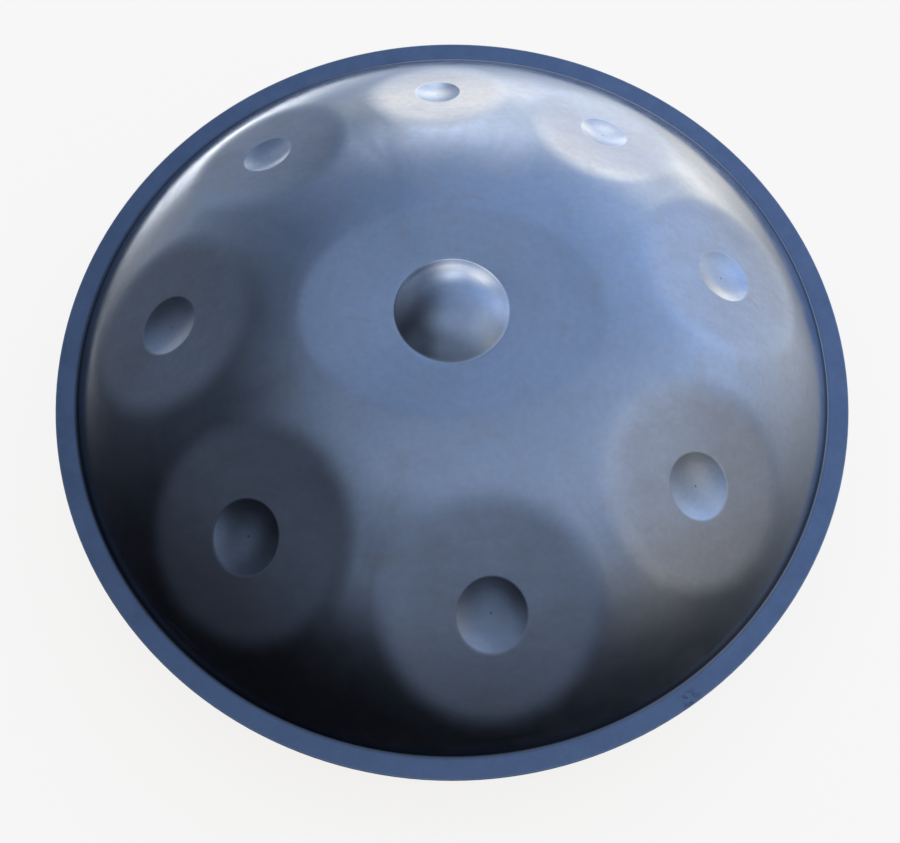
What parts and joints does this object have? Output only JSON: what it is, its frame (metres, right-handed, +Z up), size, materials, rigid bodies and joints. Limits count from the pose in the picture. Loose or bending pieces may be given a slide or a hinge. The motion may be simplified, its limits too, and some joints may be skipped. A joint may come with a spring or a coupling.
{
  "type": "handpan",
  "caption": "Handpan: drawn steel shells glued flange to flange, with a raised centre note, a ring of dimpled notes and a sound port underneath.",
  "frame": {"origin": "centre of the footprint, on the surface the instrument stands on", "axes": "+Z up through the sound port and the centre note; -Y towards the player and the largest notes; +X to the player's right"},
  "size_m": [0.54, 0.54, 0.231],
  "materials": {
    "ding_steel": "nitrided steel, satin blue-grey, lightly mottled",
    "gu_steel": "nitrided steel, satin blue-grey, lightly mottled",
    "glue": "cured dark epoxy film, matt"
  },
  "bodies": {
    "root": {"ding_shell": "ding_steel", "gu_shell": "gu_steel", "seam_glue": "glue"}
  },
  "joints": []
}
